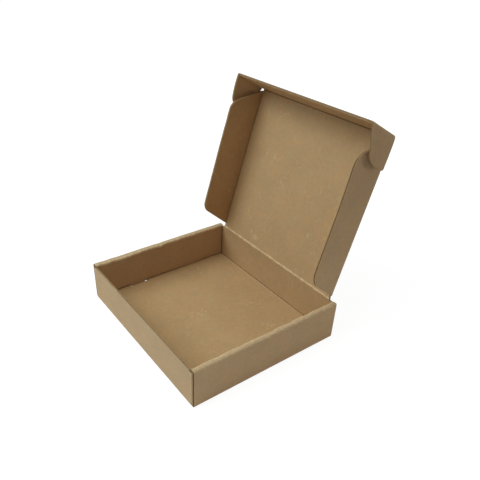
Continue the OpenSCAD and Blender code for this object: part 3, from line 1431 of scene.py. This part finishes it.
@dataclass(frozen=True)
class Studio:
    """White table, soft light and the camera.

    Attributes:
        softboxes: the lamps.
        target: the point that the lamps face, in metres.
        ambient: colour and strength of the even light around the box.
        camera_place: where the camera stands, in metres.
        camera_turn: how the camera is turned, as a quaternion.
        lens: focal length in millimetres, for a sensor 36 mm wide.
        shift: shift of the picture.
    """

    softboxes: tuple[Softbox, ...] = (
        Softbox("key_softbox", (-0.5745, -0.9751, 1.0442), 1.1, 12.1, (0.945, 1.105, 1.15)),
        Softbox("ceiling_softbox", (-0.2, 0.02, 1.4), 2.2, 7.5, (0.96, 1.08, 1.0)),
        Softbox("top_softbox", (0.0, -0.332, 0.742), 0.4, 1.0, (0.96, 1.08, 1.0)),
        Softbox("back_softbox", (0.0, 0.724, 1.404), 0.7, 2.1, (0.96, 1.08, 1.0)),
        Softbox("side_softbox", (1.217, 0.872, 0.289), 0.7, 2.7, (1.08, 1.05, 0.92)),
        Softbox("right_softbox", (1.48, -0.24, 0.29), 0.7, 0.9, (1.15, 1.0, 0.95)),
    )
    target: Triple = (0.0, 0.02, 0.08)
    ambient: Triple = (0.07, 0.076, 0.072)
    camera_place: Triple = (0.293686, -0.208055, 0.290031)
    camera_turn: tuple[float, float, float, float] = (0.7813671, 0.4262561, 0.2044746, 0.407385)
    lens: float = 39.575
    shift: tuple[float, float] = (0.03803, 0.05534)

    def camera(self) -> None:
        """Sets up the camera at the photograph's angle."""
        data = bpy.data.cameras.new("camera")
        data.sensor_width = 36.0
        data.lens = self.lens
        data.shift_x, data.shift_y = self.shift
        data.clip_start = 0.01
        data.clip_end = 50.0
        obj = bpy.data.objects.new("camera", data)
        obj.rotation_mode = "QUATERNION"
        obj.rotation_quaternion = self.camera_turn
        obj.location = self.camera_place
        bpy.context.scene.collection.objects.link(obj)
        bpy.context.scene.camera = obj

    @staticmethod
    def seen_by(shade: Shade, *kinds: str) -> Flow:
        """1 for rays of the given kinds, otherwise 0."""
        found, *others = [shade.node("ShaderNodeLightPath", out=kind) for kind in kinds]
        for other in others:
            found = found.at_least(other)
        return found

    def table(self) -> None:
        """The table, seen white with a soft shadow of the box, and darker further out."""
        bm = bmesh.new()
        bmesh.ops.create_circle(bm, cap_ends=True, segments=96, radius=6.0)
        mesh = bpy.data.meshes.new("table")
        bm.to_mesh(mesh)
        bm.free()
        obj = bpy.data.objects.new("table", mesh)
        shade = Shade(bpy.data.materials.new("white_table"))
        place = shade.node("ShaderNodeTexCoord", out="Object")
        away = shade.node("ShaderNodeVectorMath", {"operation": "LENGTH"}, {0: place}, out="Value")
        sheet = shade.blend(away.ramp(0.15, 0.5), (0.92, 0.92, 0.90, 1.0), (0.22, 0.22, 0.22, 1.0))
        light = shade.node("ShaderNodeBsdfDiffuse", {}, {"Color": sheet})
        faint = shade.node("ShaderNodeBsdfDiffuse", {}, {"Color": (0.16, 0.16, 0.16, 1.0)})
        tone = shade.blend(away.ramp(0.15, 0.6), (0.92, 0.92, 0.92, 1.0), WHITE)
        white = shade.node("ShaderNodeEmission", {}, {"Color": tone, "Strength": 1.0})
        bright = shade.node("ShaderNodeAddShader", {}, {0: white, 1: faint})
        seen = self.seen_by(shade, "Is Camera Ray", "Is Glossy Ray", "Is Transmission Ray")
        mixed = shade.node("ShaderNodeMixShader", {}, {0: seen, 1: light, 2: bright})
        mesh.materials.append(shade.output(mixed))
        bpy.context.scene.collection.objects.link(obj)

    def surroundings(self) -> None:
        """The even light around the box, white where it is seen."""
        shade = Shade(bpy.data.worlds.new("studio"))
        even, white = (shade.node("ShaderNodeBackground", {}, {"Color": colour, "Strength": 1.0})
                       for colour in ((*self.ambient, 1.0), WHITE))
        seen = self.seen_by(shade, "Is Camera Ray", "Is Transmission Ray")
        mixed = shade.node("ShaderNodeMixShader", {}, {0: seen, 1: even, 2: white})
        bpy.context.scene.world = shade.output(mixed)

    def build(self) -> None:
        """Builds the table, the light and the camera."""
        bpy.context.scene.view_settings.view_transform = "Standard"
        for softbox in self.softboxes:
            softbox.build(Vector(self.target))
        self.surroundings()
        self.table()
        self.camera()


def kraft_finishes() -> Finishes:
    """Materials of the outer liner, the inner liner and the cut edges, in that order."""
    outer = KraftLiner("outer_liner", (0.497, 0.318, 0.180, 1.0), (0.70, 0.51, 0.31, 1.0),
                       (0.19, 0.10, 0.04, 1.0), scuff=0.2)
    inner = KraftLiner("inner_liner", (0.482, 0.292, 0.144, 1.0), (0.74, 0.51, 0.29, 1.0),
                       (0.17, 0.082, 0.028, 1.0), scuff=0.6)
    edge = CutEdge("cut_edge", (0.44, 0.30, 0.17, 1.0), (0.13, 0.048, 0.014, 1.0))
    return [outer.build(), inner.build(), edge.build()]


def main() -> None:
    """Builds the studio and the box, and reports each piece."""
    logging.basicConfig(level=logging.INFO, format="%(name)s: %(message)s")
    Studio().build()
    blank = Blank(BoxSizes())
    finishes = kraft_finishes()
    lid = Lid(blank, finishes)
    pieces = [Tray(blank, finishes).build(), lid.panel(), lid.side_flap(Way.LEFT),
              lid.side_flap(Way.RIGHT), lid.tuck_flap(), lid.ear(Way.LEFT), lid.ear(Way.RIGHT)]
    for piece in pieces:
        log.info("%s has %d faces", piece.name, len(piece.data.polygons))


if __name__ == "__main__":
    main()
